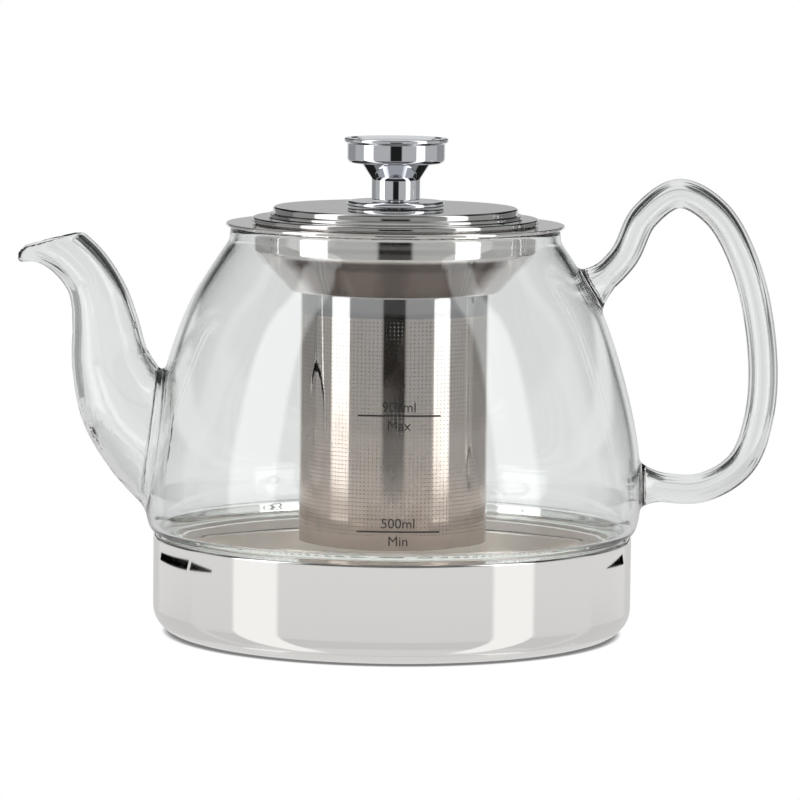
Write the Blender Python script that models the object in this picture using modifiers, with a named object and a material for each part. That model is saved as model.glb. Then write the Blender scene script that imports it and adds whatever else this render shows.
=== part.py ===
"""Glass teapot with a drop-in steel infuser, a stepped steel lid and a steel induction base.

The origin is the centre of the flat underside. +Z is up, the handle points to +X and the
spout to -X. Every round piece is turned about the Z axis.
"""
import math

import bmesh
import bpy
from mathutils import Vector

MM = 0.001                      # every size below is in millimetres and becomes metres here

# Shared
TURN_STEPS = 40                 # facets around every turned piece, so that nested pieces clear evenly
CLEARANCE = 0.3                 # gap between neighbouring pieces
PROUD = 5.0                     # how far a cutter reaches past what it cuts

# Induction base
BASE_RADIUS = 68.3
BASE_HEIGHT = 28.1
BASE_WALL = 1.0
BASE_CORNER = 7.5
BASE_RIM_ROUND = 0.7
SPREADER_RADIUS = 56.0
SPREADER_THICKNESS = 3.0
LINER_WALL = 0.8
LINER_LEDGE_HEIGHT = 21.6       # top of the ledge that carries the seal and the glass
LINER_OUTER_RADIUS = 61.6
LINER_CORNER = 5.0

# Glass jug
GLASS_WALL = 2.2
FOOT_RADIUS = 64.6
FOOT_BOTTOM = 23.0
FOOT_TOP = 25.6
NECK_RADIUS = 47.0
RIM_HEIGHT = 115.6
BELL_OUTLINE = ((66.9, 28.3), (69.0, 29.6), (70.2, 32.6), (70.9, 41.1), (69.4, 57.1),
                (63.6, 80.1), (57.7, 95.2), (50.2, 107.4), (47.3, 111.9))
SEAL_LEG_TOP = 25.4
SEAL_INNER_LEG_TOP = 24.8
SEAL_INNER_LEG = 0.9

# Spout: stations along its axis as (x, z, outer radius)
SPOUT_STATIONS = ((-54.0, 49.1, 21.0), (-63.5, 53.6, 19.0), (-69.8, 57.9, 16.4), (-76.3, 65.2, 13.9),
                  (-80.7, 76.2, 11.3), (-82.2, 86.2, 9.7), (-83.8, 93.9, 8.5), (-86.3, 99.9, 7.6),
                  (-90.1, 105.0, 7.3), (-95.2, 109.2, 7.1), (-101.0, 111.6, 7.0), (-107.2, 111.6, 7.0),
                  (-113.2, 111.0, 7.0))
SPOUT_WALL = 2.0
SPOUT_SIDES = 24
SPOUT_STEPS = 2
MOUTH_CREST = (-89.5, 113.5)
MOUTH_TIP = (-104.5, 109.6)

# Handle: points along the tube's axis as (x, z), from inside the shoulder to inside the belly
HANDLE_PATH = ((50.0, 93.2), (56.7, 99.2), (65.0, 107.9), (70.6, 119.3), (80.4, 126.1), (91.0, 120.7),
               (99.9, 105.2), (104.9, 81.6), (104.4, 62.9), (99.4, 49.0), (88.2, 42.0), (72.8, 42.5),
               (63.0, 43.8))
HANDLE_RADIUS = 4.2
HANDLE_BORE = 2.6
HANDLE_FLARE = 2.6              # how much the tube widens where it is welded to the jug
HANDLE_FLARE_LENGTH = 9.0
HANDLE_BURIED = 8.0             # length of tube path inside the jug at each end
HANDLE_SIDES = 10
HANDLE_STEPS = 4

# Infuser
SHEET = 0.6                     # pressed steel sheet
FLANGE_RADIUS = 48.15
FLANGE_THICKNESS = 0.9
COLLAR_RADIUS = 40.3
COLLAR_WALL_BOTTOM = 108.5
BOWL_RADIUS = 30.0
BOWL_BOTTOM = 97.6
SLEEVE_RADIUS = 26.8
SLEEVE_BOTTOM = 26.0
SLEEVE_TOP = 98.4
SLEEVE_LIP = 1.3
CAP_SKIRT = 3.3

# Lid
LID_RADIUS = 40.75
LID_RIM_TOP = 118.5
LID_STEP_RADIUS = 36.1
LID_STEP_TOP = 119.5
LID_DISC_RADIUS = 34.85
LID_DISC_TOP = 121.5
SKIRT_RADIUS = 39.2
SKIRT_BOTTOM = 110.1
SKIRT_INNER = 36.4

# Knob and its fixing
ROSETTE_RADIUS = 13.8
ROSETTE_THICKNESS = 1.5
KNOB_NECK_RADIUS = 6.9
KNOB_NECK_TOP = 129.6
KNOB_CONE_RADIUS = 10.0
KNOB_HEAD_BOTTOM = 134.0
KNOB_HEAD_RADIUS = 13.9
KNOB_LIP_RADIUS = 14.8
KNOB_LIP_BOTTOM = 140.0
KNOB_TOP = 141.1
SCREW_RADIUS = 2.0
SCREW_HOLE = 2.4
SCREW_TIP = 131.1
SCREW_HEAD_RADIUS = 3.6
SCREW_HEAD_HEIGHT = 2.2
WASHER_RADIUS = 5.5
WASHER_THICKNESS = 0.8

# Heights and radii that follow from the ones above
LINER_TOP = BASE_WALL + CLEARANCE + SPREADER_THICKNESS + CLEARANCE + LINER_WALL
CUP_BORE = BASE_RADIUS - BASE_WALL
FLANGE_BOTTOM = RIM_HEIGHT + CLEARANCE
FLANGE_TOP = FLANGE_BOTTOM + FLANGE_THICKNESS
LID_BOTTOM = FLANGE_TOP + CLEARANCE
ROSETTE_BOTTOM = LID_DISC_TOP + CLEARANCE
KNOB_BOTTOM = ROSETTE_BOTTOM + ROSETTE_THICKNESS + CLEARANCE
WASHER_TOP = LID_DISC_TOP - SHEET - CLEARANCE
SCREW_HEAD_TOP = WASHER_TOP - WASHER_THICKNESS - CLEARANCE


def clear_scene():
    for obj in list(bpy.data.objects):
        bpy.data.objects.remove(obj, do_unlink=True)


def new_collection(name):
    collection = bpy.data.collections.new(name)
    bpy.context.scene.collection.children.link(collection)
    return collection


def new_material(name, color, metallic, roughness, transmission=0.0):
    material = bpy.data.materials.new(name)
    material.use_nodes = True
    shader = material.node_tree.nodes["Principled BSDF"]
    shader.inputs["Base Color"].default_value = (*color, 1.0)
    shader.inputs["Metallic"].default_value = metallic
    shader.inputs["Roughness"].default_value = roughness
    shader.inputs["Transmission Weight"].default_value = transmission
    return material


def steel(name, roughness=0.08):
    return new_material(name, (0.66, 0.65, 0.63), 1.0, roughness)


def rounded(corners, arc_steps=3):
    """Outline from corners (radius, height) or (radius, height, fillet), with an arc at each fillet."""
    outline = []
    for index, corner in enumerate(corners):
        point = Vector(corner[:2])
        if len(corner) == 2:
            outline.append(point)
            continue
        before = (Vector(corners[index - 1][:2]) - point).normalized()
        after = (Vector(corners[(index + 1) % len(corners)][:2]) - point).normalized()
        half = before.angle(after) / 2
        reach = corner[2] / math.tan(half)
        centre = point + (before + after).normalized() * (corner[2] / math.sin(half))
        start = point + before * reach - centre
        sweep = (point + after * reach - centre).angle_signed(start)
        for step in range(arc_steps + 1):
            turn = sweep * step / arc_steps
            outline.append(centre + Vector((start.x * math.cos(turn) - start.y * math.sin(turn),
                                            start.x * math.sin(turn) + start.y * math.cos(turn))))
    return outline


def smooth_path(stations, steps):
    """Points along a centripetal Catmull-Rom curve through the stations, steps to each span."""
    knots = [Vector(station) for station in stations]
    knots = [2 * knots[0] - knots[1]] + knots + [2 * knots[-1] - knots[-2]]
    path = []
    for a, b, c, d in zip(knots, knots[1:], knots[2:], knots[3:]):
        t1 = (b - a).length ** 0.5
        t2 = t1 + (c - b).length ** 0.5
        t3 = t2 + (d - c).length ** 0.5
        for step in range(steps):
            t = t1 + (t2 - t1) * step / steps
            ab = a.lerp(b, t / t1)
            bc = b.lerp(c, (t - t1) / (t2 - t1))
            cd = c.lerp(d, (t - t2) / (t3 - t2))
            path.append(ab.lerp(bc, t / t2).lerp(bc.lerp(cd, (t - t1) / (t3 - t1)), (t - t1) / (t2 - t1)))
    path.append(knots[-2])
    return path


def mesh_object(name, mesh, collection, material=None):
    obj = bpy.data.objects.new(name, mesh)
    collection.objects.link(obj)
    if material:
        mesh.materials.append(material)
    return obj


def turned(name, outline, collection, material=None, loop=False):
    """Turn an outline that runs down its outer side about the Z axis; loop joins its two ends."""
    mesh = bpy.data.meshes.new(name)
    points = [(point[0] * MM, 0.0, point[1] * MM) for point in outline]
    edges = [(index, index + 1) for index in range(len(points) - 1)]
    if loop:
        edges.append((len(points) - 1, 0))
    mesh.from_pydata(points, edges, [])
    obj = mesh_object(name, mesh, collection, material)
    screw = obj.modifiers.new("Turn", "SCREW")
    screw.angle = math.tau
    screw.steps = TURN_STEPS
    screw.render_steps = TURN_STEPS
    screw.use_merge_vertices = True
    screw.merge_threshold = 1e-6
    screw.use_smooth_shade = True
    return obj


def add_wall(obj, thickness):
    """Give an open turned surface a wall on its inner side."""
    wall = obj.modifiers.new("Wall", "SOLIDIFY")
    wall.thickness = thickness * MM
    wall.offset = -1.0
    wall.use_even_offset = True


def cut(obj, cutter):
    boolean = obj.modifiers.new("Cut " + cutter.name, "BOOLEAN")
    boolean.operation = "DIFFERENCE"
    boolean.solver = "EXACT"
    boolean.object = cutter


def swept(name, path, sides, collection, material=None):
    """Round tube along a path of (x, z, radius) in the XZ plane, as a closed mesh with flat ends."""
    curve = bpy.data.curves.new(name, "CURVE")
    curve.dimensions = "3D"
    curve.bevel_depth = MM
    curve.bevel_resolution = sides // 2 - 2
    curve.use_fill_caps = True
    spline = curve.splines.new("POLY")
    spline.points.add(len(path) - 1)
    for point, (x, z, radius) in zip(spline.points, path):
        point.co = (x * MM, 0.0, z * MM, 1.0)
        point.radius = radius
    guide = bpy.data.objects.new(name + "_guide", curve)
    collection.objects.link(guide)
    depsgraph = bpy.context.evaluated_depsgraph_get()
    mesh = bpy.data.meshes.new_from_object(guide.evaluated_get(depsgraph))
    bpy.data.objects.remove(guide, do_unlink=True)
    work = bmesh.new()
    work.from_mesh(mesh)
    bmesh.ops.remove_doubles(work, verts=work.verts, dist=1e-6)
    bmesh.ops.recalc_face_normals(work, faces=work.faces)
    work.to_mesh(mesh)
    work.free()
    mesh.shade_smooth()
    mesh.set_sharp_from_angle(angle=math.radians(40))
    return mesh_object(name, mesh, collection, material)


def as_cutter(obj):
    obj.hide_render = True
    obj.display_type = "WIRE"
    return obj


def bell_outline():
    """Outer side of the jug, from the rim down over the belly to the foot in the seal."""
    bell = smooth_path(BELL_OUTLINE, 2)
    return ([(NECK_RADIUS, RIM_HEIGHT)] + [tuple(point) for point in reversed(bell)]
            + [(FOOT_RADIUS + 0.6, FOOT_TOP + 1.3), (FOOT_RADIUS, FOOT_TOP), (FOOT_RADIUS, FOOT_BOTTOM)])


def spout_path(wall):
    """The spout's stations with the radius reduced by a wall, and its tube running on past the mouth."""
    return [(x, z, radius - wall) for x, z, radius in smooth_path(SPOUT_STATIONS, SPOUT_STEPS)]


def handle_path(radius, flare, overrun):
    """The handle tube's stations, widened towards the welds; overrun lengthens both ends."""
    path = smooth_path(HANDLE_PATH, HANDLE_STEPS)
    lengths = [0.0]
    for a, b in zip(path, path[1:]):
        lengths.append(lengths[-1] + (b - a).length)
    stations = []
    for point, run in zip(path, lengths):
        free = min(run, lengths[-1] - run) - HANDLE_BURIED
        widening = max(0.0, 1.0 - max(0.0, free) / HANDLE_FLARE_LENGTH) ** 2
        stations.append((point.x, point.y, radius + flare * widening))
    first = path[0] + (path[0] - path[1]).normalized() * overrun
    last = path[-1] + (path[-1] - path[-2]).normalized() * overrun
    ends = radius + flare
    return [(first.x, first.y, ends)] + stations + [(last.x, last.y, ends)]


def build_base(parts):
    turned("base_cup", rounded(
        ((CUP_BORE, BASE_HEIGHT), (BASE_RADIUS, BASE_HEIGHT, BASE_RIM_ROUND),
         (BASE_RADIUS, 0.0, BASE_CORNER), (0.0, 0.0), (0.0, BASE_WALL),
         (CUP_BORE, BASE_WALL, BASE_CORNER - BASE_WALL))),
        parts, steel("base_steel", 0.05), loop=True)

    spreader_bottom = BASE_WALL + CLEARANCE
    turned("heat_spreader", ((0.0, spreader_bottom + SPREADER_THICKNESS),
                             (SPREADER_RADIUS, spreader_bottom + SPREADER_THICKNESS),
                             (SPREADER_RADIUS, spreader_bottom), (0.0, spreader_bottom)),
           parts, new_material("spreader_aluminium", (0.60, 0.61, 0.62), 1.0, 0.45))

    ledge_under = LINER_LEDGE_HEIGHT - LINER_WALL
    liner_under = LINER_TOP - LINER_WALL
    turned("floor_liner", rounded(
        ((LINER_OUTER_RADIUS - LINER_WALL, LINER_LEDGE_HEIGHT),
         (CUP_BORE - CLEARANCE, LINER_LEDGE_HEIGHT), (CUP_BORE - CLEARANCE, ledge_under),
         (LINER_OUTER_RADIUS, ledge_under), (LINER_OUTER_RADIUS, liner_under, LINER_CORNER),
         (0.0, liner_under), (0.0, LINER_TOP),
         (LINER_OUTER_RADIUS - LINER_WALL, LINER_TOP, LINER_CORNER - LINER_WALL))),
        parts, steel("liner_steel", 0.12), loop=True)

    seal_bottom = LINER_LEDGE_HEIGHT + CLEARANCE
    glass_inner = FOOT_RADIUS - GLASS_WALL
    turned("base_seal", (
        (FOOT_RADIUS + CLEARANCE, SEAL_LEG_TOP), (CUP_BORE - CLEARANCE, SEAL_LEG_TOP),
        (CUP_BORE - CLEARANCE, seal_bottom), (glass_inner - CLEARANCE - SEAL_INNER_LEG, seal_bottom),
        (glass_inner - CLEARANCE - SEAL_INNER_LEG, SEAL_INNER_LEG_TOP),
        (glass_inner - CLEARANCE, SEAL_INNER_LEG_TOP), (glass_inner - CLEARANCE, FOOT_BOTTOM - CLEARANCE),
        (FOOT_RADIUS + CLEARANCE, FOOT_BOTTOM - CLEARANCE)),
        parts, new_material("seal_silicone", (0.72, 0.72, 0.71), 0.0, 0.55), loop=True)


def build_jug(parts, cutters):
    glass = new_material("borosilicate", (0.95, 0.97, 0.96), 0.0, 0.02, transmission=1.0)

    bore = as_cutter(swept("spout_bore", spout_path(SPOUT_WALL), SPOUT_SIDES, cutters))
    keep_out = [(radius + CLEARANCE, height) for radius, height in bell_outline()]
    core = as_cutter(turned("jug_core", [(0.0, RIM_HEIGHT)] + keep_out + [(0.0, FOOT_BOTTOM)], cutters))

    body = turned("glass_body", bell_outline(), parts, glass)
    add_wall(body, GLASS_WALL)
    cut(body, bore)

    spout = swept("glass_spout", spout_path(0.0)[:-SPOUT_STEPS], SPOUT_SIDES, parts, glass)
    cut(spout, bore)
    cut(spout, core)
    cut(spout, mouth_cutter(cutters))

    handle = swept("glass_handle", handle_path(HANDLE_RADIUS, HANDLE_FLARE, 0.0), HANDLE_SIDES, parts, glass)
    handle_bore = handle_path(HANDLE_BORE, HANDLE_FLARE, PROUD)
    cut(handle, as_cutter(swept("handle_bore", handle_bore, HANDLE_SIDES, cutters)))
    cut(handle, core)


def mouth_cutter(cutters):
    """Block whose lower face is the slanted plane of the pouring mouth."""
    crest, tip = Vector(MOUTH_CREST), Vector(MOUTH_TIP)
    slope = math.atan2(crest.y - tip.y, crest.x - tip.x)
    size = 40.0
    middle = (crest + tip) / 2 + Vector((-math.sin(slope), math.cos(slope))) * size / 2
    bpy.ops.mesh.primitive_cube_add(size=size * MM, location=(middle.x * MM, 0.0, middle.y * MM),
                                    rotation=(0.0, -slope, 0.0))
    block = bpy.context.active_object
    block.name = "mouth_block"
    for collection in list(block.users_collection):
        collection.objects.unlink(block)
    cutters.objects.link(block)
    return as_cutter(block)


def build_infuser(parts):
    turned("infuser_collar", rounded(
        ((FLANGE_RADIUS, FLANGE_TOP), (FLANGE_RADIUS, FLANGE_BOTTOM), (COLLAR_RADIUS, FLANGE_BOTTOM, 0.5),
         (COLLAR_RADIUS, COLLAR_WALL_BOTTOM, 1.2), (BOWL_RADIUS, BOWL_BOTTOM, 1.8),
         (SLEEVE_RADIUS + CLEARANCE, BOWL_BOTTOM - 0.6), (SLEEVE_RADIUS + CLEARANCE, BOWL_BOTTOM),
         (BOWL_RADIUS - 0.3, BOWL_BOTTOM + SHEET, 1.2),
         (COLLAR_RADIUS - SHEET, COLLAR_WALL_BOTTOM + 0.4, 0.6), (COLLAR_RADIUS - SHEET, FLANGE_TOP, 1.0)),
        arc_steps=2), parts, steel("collar_steel"), loop=True)

    sleeve_bore = SLEEVE_RADIUS - SHEET
    lip_radius = SLEEVE_RADIUS + SLEEVE_LIP
    lip_under = BOWL_BOTTOM + 0.3
    turned("infuser_sleeve", (
        (sleeve_bore, SLEEVE_TOP), (lip_radius, SLEEVE_TOP), (lip_radius, lip_under),
        (SLEEVE_RADIUS, lip_under), (SLEEVE_RADIUS, SLEEVE_BOTTOM), (sleeve_bore, SLEEVE_BOTTOM)),
        parts, steel("sleeve_steel", 0.12), loop=True)

    cap = turned("infuser_base", rounded(
        ((sleeve_bore - CLEARANCE, SLEEVE_BOTTOM + CAP_SKIRT), (sleeve_bore - CLEARANCE, SLEEVE_BOTTOM, 1.2),
         (0.0, SLEEVE_BOTTOM)), arc_steps=2), parts, steel("cap_steel", 0.12))
    add_wall(cap, SHEET)


def build_lid(parts):
    disc_under = LID_DISC_TOP - SHEET
    turned("lid_cover", rounded(
        ((SCREW_HOLE, LID_DISC_TOP), (LID_DISC_RADIUS, LID_DISC_TOP, 0.8), (LID_DISC_RADIUS, LID_STEP_TOP),
         (LID_STEP_RADIUS, LID_STEP_TOP, 0.3), (LID_STEP_RADIUS, LID_RIM_TOP),
         (LID_RADIUS, LID_RIM_TOP, 0.6), (LID_RADIUS, LID_BOTTOM), (LID_RADIUS - SHEET, LID_BOTTOM),
         (LID_RADIUS - SHEET, LID_RIM_TOP - SHEET), (LID_STEP_RADIUS - SHEET, LID_RIM_TOP - SHEET),
         (LID_STEP_RADIUS - SHEET, LID_STEP_TOP - SHEET), (LID_DISC_RADIUS - SHEET, LID_STEP_TOP - SHEET),
         (LID_DISC_RADIUS - SHEET, disc_under), (SCREW_HOLE, disc_under)), arc_steps=2),
        parts, steel("lid_steel", 0.07), loop=True)

    skirt_top = LID_RIM_TOP - SHEET - CLEARANCE
    turned("lid_skirt", (
        (SKIRT_INNER, skirt_top), (SKIRT_RADIUS, skirt_top), (SKIRT_RADIUS, SKIRT_BOTTOM),
        (SKIRT_RADIUS - SHEET, SKIRT_BOTTOM), (SKIRT_RADIUS - SHEET, skirt_top - SHEET),
        (SKIRT_INNER, skirt_top - SHEET)), parts, steel("skirt_steel", 0.12), loop=True)


def build_knob(parts):
    rosette_top = ROSETTE_BOTTOM + ROSETTE_THICKNESS
    turned("knob_rosette", rounded(
        ((SCREW_HOLE, rosette_top), (ROSETTE_RADIUS, rosette_top, 0.9), (ROSETTE_RADIUS, ROSETTE_BOTTOM, 0.4),
         (SCREW_HOLE, ROSETTE_BOTTOM)), arc_steps=2), parts, steel("rosette_steel", 0.05), loop=True)

    turned("knob", rounded(
        ((0.0, KNOB_TOP), (KNOB_LIP_RADIUS, KNOB_TOP, 0.5), (KNOB_LIP_RADIUS, KNOB_LIP_BOTTOM, 0.4),
         (KNOB_HEAD_RADIUS, KNOB_LIP_BOTTOM - 0.4), (KNOB_HEAD_RADIUS, KNOB_HEAD_BOTTOM, 1.4),
         (KNOB_CONE_RADIUS, KNOB_HEAD_BOTTOM), (KNOB_NECK_RADIUS, KNOB_NECK_TOP, 2.4),
         (KNOB_NECK_RADIUS, KNOB_BOTTOM), (SCREW_HOLE, KNOB_BOTTOM),
         (SCREW_HOLE, SCREW_TIP + 1.0), (0.0, SCREW_TIP + 1.0))),
        parts, new_material("knob_chrome", (0.78, 0.79, 0.81), 1.0, 0.03))

    turned("lid_screw", rounded(
        ((0.0, SCREW_TIP), (SCREW_RADIUS - 0.5, SCREW_TIP), (SCREW_RADIUS, SCREW_TIP - 0.5),
         (SCREW_RADIUS, SCREW_HEAD_TOP), (SCREW_HEAD_RADIUS, SCREW_HEAD_TOP),
         (SCREW_HEAD_RADIUS, SCREW_HEAD_TOP - SCREW_HEAD_HEIGHT, 1.0),
         (0.0, SCREW_HEAD_TOP - SCREW_HEAD_HEIGHT))), parts, steel("screw_steel", 0.25))

    turned("lid_washer", (
        (SCREW_HOLE, WASHER_TOP), (WASHER_RADIUS, WASHER_TOP),
        (WASHER_RADIUS, WASHER_TOP - WASHER_THICKNESS), (SCREW_HOLE, WASHER_TOP - WASHER_THICKNESS)),
        parts, steel("washer_steel", 0.25), loop=True)


def main():
    clear_scene()
    parts = new_collection("teapot_infuser")
    cutters = new_collection("cutters")
    build_base(parts)
    build_jug(parts, cutters)
    build_infuser(parts)
    build_lid(parts)
    build_knob(parts)


main()
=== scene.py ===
"""Looks of the glass teapot with its steel infuser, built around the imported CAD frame.

Lengths in this script are millimetres in the frame's own axes, turned into metres as meshes are made.
"""
import math

import bmesh
import bpy
import numpy as np
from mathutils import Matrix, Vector


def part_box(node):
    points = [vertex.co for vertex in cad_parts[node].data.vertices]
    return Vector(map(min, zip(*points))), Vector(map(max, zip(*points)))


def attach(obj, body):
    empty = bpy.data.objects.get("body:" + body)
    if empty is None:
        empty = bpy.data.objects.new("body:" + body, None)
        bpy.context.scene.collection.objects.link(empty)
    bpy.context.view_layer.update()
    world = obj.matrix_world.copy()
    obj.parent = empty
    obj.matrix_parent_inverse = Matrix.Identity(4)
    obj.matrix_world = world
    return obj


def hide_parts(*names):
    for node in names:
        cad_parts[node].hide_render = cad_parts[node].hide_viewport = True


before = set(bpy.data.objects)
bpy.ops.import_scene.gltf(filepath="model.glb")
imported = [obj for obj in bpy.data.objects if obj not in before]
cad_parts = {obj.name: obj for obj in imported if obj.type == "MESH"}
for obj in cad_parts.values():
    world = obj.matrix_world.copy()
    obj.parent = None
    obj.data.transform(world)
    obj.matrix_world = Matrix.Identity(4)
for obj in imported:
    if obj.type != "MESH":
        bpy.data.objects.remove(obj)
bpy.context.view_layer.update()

MM = 0.001
TURN_STEPS = 256
ARC_STEPS = 8
SHARP_EDGE = math.radians(35)
MERGE_DISTANCE = 1e-6


def top(node):
    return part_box(node)[1].z / MM


def bottom(node):
    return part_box(node)[0].z / MM


def radius_of(node):
    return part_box(node)[1].y / MM


# -------- sizes, from the frame where it has them
CLEARANCE = 0.3
BASE_RADIUS = radius_of("base_cup")
BASE_HEIGHT = top("base_cup")
BASE_WALL = 1.0
CUP_BORE = BASE_RADIUS - BASE_WALL
BASE_CORNER = 7.5
BASE_RIM_ROUND = 0.7
LINER_WALL = 0.8
LINER_OUTER_RADIUS = 61.6
LINER_CORNER = 5.0
LINER_LEDGE = top("floor_liner")
LINER_UNDER = bottom("floor_liner")
SEAL_LIP = 0.9                  # thickness of the seal's inner lip
SEAL_STEP = 0.6                 # how far that lip stays below the seal's outer side
FOOT_GAP = 0.2

GLASS_WALL = 2.2
RIM_HEIGHT = top("glass_body")
FOOT_BOTTOM = bottom("glass_body")
FOOT_RADIUS = 64.6
NECK_RADIUS = 47.0
BELL_OUTLINE = ((66.9, 28.3), (69.0, 29.6), (70.2, 32.6), (70.9, 41.1), (69.4, 57.1),
                (63.6, 80.1), (57.7, 95.2), (50.2, 107.4), (47.3, 111.9))

SPOUT_STATIONS = ((-54.0, 49.1, 21.0), (-63.5, 53.6, 19.0), (-69.8, 57.9, 16.4), (-76.3, 65.2, 13.9),
                  (-80.7, 76.2, 11.3), (-82.2, 86.2, 9.7), (-83.8, 93.9, 8.5), (-86.3, 99.9, 7.6),
                  (-90.1, 105.0, 7.3), (-95.2, 109.2, 7.1), (-101.0, 111.6, 7.0), (-107.2, 111.6, 7.0),
                  (-113.2, 111.0, 7.0))
SPOUT_WALL = 2.0
MOUTH_CREST = (-89.5, 113.5)
MOUTH_TIP = (-104.5, 109.6)
SPOUT_END = -107.2              # the spout's blunt nose stops at this X

HANDLE_PATH = ((50.0, 93.2), (56.7, 99.2), (65.0, 107.9), (70.6, 119.3), (80.4, 126.1), (91.0, 120.7),
               (99.9, 105.2), (104.9, 81.6), (104.4, 62.9), (99.4, 49.0), (88.2, 42.0), (72.8, 42.5),
               (63.0, 43.8))
HANDLE_RADIUS = 4.2
HANDLE_BORE = 2.6
HANDLE_FLARE = 2.4              # widening of the tube at its two welds
HANDLE_FLARE_REACH = 7.0
HANDLE_WEB = 0.2                # the tube's bore stops this far outside the jug
HANDLE_WEB_ROUND = 1.2
SPOUT_SIDE = -32.0              # only glass beyond this X can belong to the spout
HANDLE_SIDE = 36.0              # and beyond this X to the handle
RIM_ZONE = NECK_RADIUS + 4.0
CURVE_STEPS = 30

GLASS_LOW = (-110.0, -73.0, 18.0)
GLASS_HIGH = (112.0, 73.0, 132.0)
GLASS_PITCH = 0.82
GLASS_TRIANGLES = 190000
TABLE_STEP = 0.5
NEAR_FACTOR = 1.25              # blocks nearer the surface than this many block sizes are sampled in full
BATCH = 400000
CELL_CORNERS = tuple((i, j, k) for i in (0, 1) for j in (0, 1) for k in (0, 1))

SHEET = 0.6
FLANGE_RADIUS = radius_of("infuser_collar")
FLANGE_TOP = top("infuser_collar")
FLANGE_BOTTOM = FLANGE_TOP - 0.9
COLLAR_RADIUS = 40.3
COLLAR_WALL_BOTTOM = 108.5
BOWL_RADIUS = 30.0
BOWL_BOTTOM = 97.6
SLEEVE_RADIUS = 26.8
SLEEVE_BOTTOM = bottom("infuser_sleeve")
SLEEVE_TOP = top("infuser_sleeve")
SLEEVE_LIP = 1.3
CAP_RING = 19.0                 # the cap's middle rises inside this radius
CAP_RISE = 0.8
PERFORATED_FROM = 30.2
PERFORATED_TO = 91.1
HOLE_PITCH = 1.15
HOLE_SHARE = 0.24               # hole width over pitch
HOLE_HALF = HOLE_SHARE / 2
HOLE_LOW, HOLE_HIGH = 0.5 - HOLE_HALF, 0.5 + HOLE_HALF
HOLE_CORNERS = ((HOLE_LOW, HOLE_LOW), (HOLE_HIGH, HOLE_LOW), (HOLE_HIGH, HOLE_HIGH), (HOLE_LOW, HOLE_HIGH))

LID_RADIUS = radius_of("lid_cover")
LID_BOTTOM = bottom("lid_cover")
LID_DISC_TOP = top("lid_cover")
LID_RIM_TOP = 118.5
LID_STEP_RADIUS = 36.1
LID_STEP_TOP = 119.5
LID_DISC_RADIUS = 34.85
SKIRT_RADIUS = radius_of("lid_skirt")
SKIRT_TOP = top("lid_skirt")
SKIRT_BOTTOM = bottom("lid_skirt")
SKIRT_INNER = 36.4

ROSETTE_RADIUS = radius_of("knob_rosette")
ROSETTE_TOP = top("knob_rosette")
ROSETTE_BOTTOM = bottom("knob_rosette")
KNOB_TOP = top("knob")
KNOB_BOTTOM = bottom("knob")
KNOB_LIP_RADIUS = radius_of("knob")
KNOB_LIP_BOTTOM = 140.0
KNOB_HEAD_RADIUS = 13.9
KNOB_HEAD_BOTTOM = 134.0
KNOB_CONE_RADIUS = 10.0
KNOB_NECK_RADIUS = 6.9
KNOB_NECK_TOP = 129.6
SCREW_RADIUS = 2.0
SCREW_HOLE = 2.4
SCREW_TIP = top("lid_screw")
SCREW_HEAD_BOTTOM = bottom("lid_screw")
SCREW_HEAD_RADIUS = radius_of("lid_screw")
SCREW_HEAD_TOP = SCREW_HEAD_BOTTOM + 2.2


# -------- outlines
def rounded(corners, arc_steps=ARC_STEPS):
    """Outline from corners (radius, height) or (radius, height, fillet), with an arc at each fillet."""
    outline = []
    for index, corner in enumerate(corners):
        point = Vector(corner[:2])
        if len(corner) == 2:
            outline.append(point)
            continue
        before = (Vector(corners[index - 1][:2]) - point).normalized()
        after = (Vector(corners[(index + 1) % len(corners)][:2]) - point).normalized()
        half = before.angle(after) / 2
        reach = corner[2] / math.tan(half)
        centre = point + (before + after).normalized() * (corner[2] / math.sin(half))
        start = point + before * reach - centre
        sweep = (point + after * reach - centre).angle_signed(start)
        for step in range(arc_steps + 1):
            turn = sweep * step / arc_steps
            outline.append(centre + Vector((start.x * math.cos(turn) - start.y * math.sin(turn),
                                            start.x * math.sin(turn) + start.y * math.cos(turn))))
    return outline


def smooth_path(stations, steps):
    """Points along a centripetal Catmull-Rom curve through the stations, steps to each span."""
    knots = [Vector(station) for station in stations]
    knots = [2 * knots[0] - knots[1]] + knots + [2 * knots[-1] - knots[-2]]
    path = []
    for a, b, c, d in zip(knots, knots[1:], knots[2:], knots[3:]):
        t1 = (b - a).length ** 0.5
        t2 = t1 + (c - b).length ** 0.5
        t3 = t2 + (d - c).length ** 0.5
        for step in range(steps):
            t = t1 + (t2 - t1) * step / steps
            ab = a.lerp(b, t / t1)
            bc = b.lerp(c, (t - t1) / (t2 - t1))
            cd = c.lerp(d, (t - t2) / (t3 - t2))
            path.append(ab.lerp(bc, t / t2).lerp(bc.lerp(cd, (t - t1) / (t3 - t1)), (t - t1) / (t2 - t1)))
    path.append(knots[-2])
    return path


def bell_outline():
    """Outer side of the jug, from the rim down over the belly to the foot in the seal."""
    foot = [(FOOT_RADIUS, FOOT_BOTTOM), (FOOT_RADIUS, FOOT_BOTTOM + 2.6),
            (FOOT_RADIUS + 0.6, FOOT_BOTTOM + 3.9)]
    neck = [(NECK_RADIUS, RIM_HEIGHT - 2.2), (NECK_RADIUS, RIM_HEIGHT)]
    path = smooth_path(foot + list(BELL_OUTLINE) + neck, CURVE_STEPS)
    return np.array([tuple(point) for point in reversed(path)])


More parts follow.
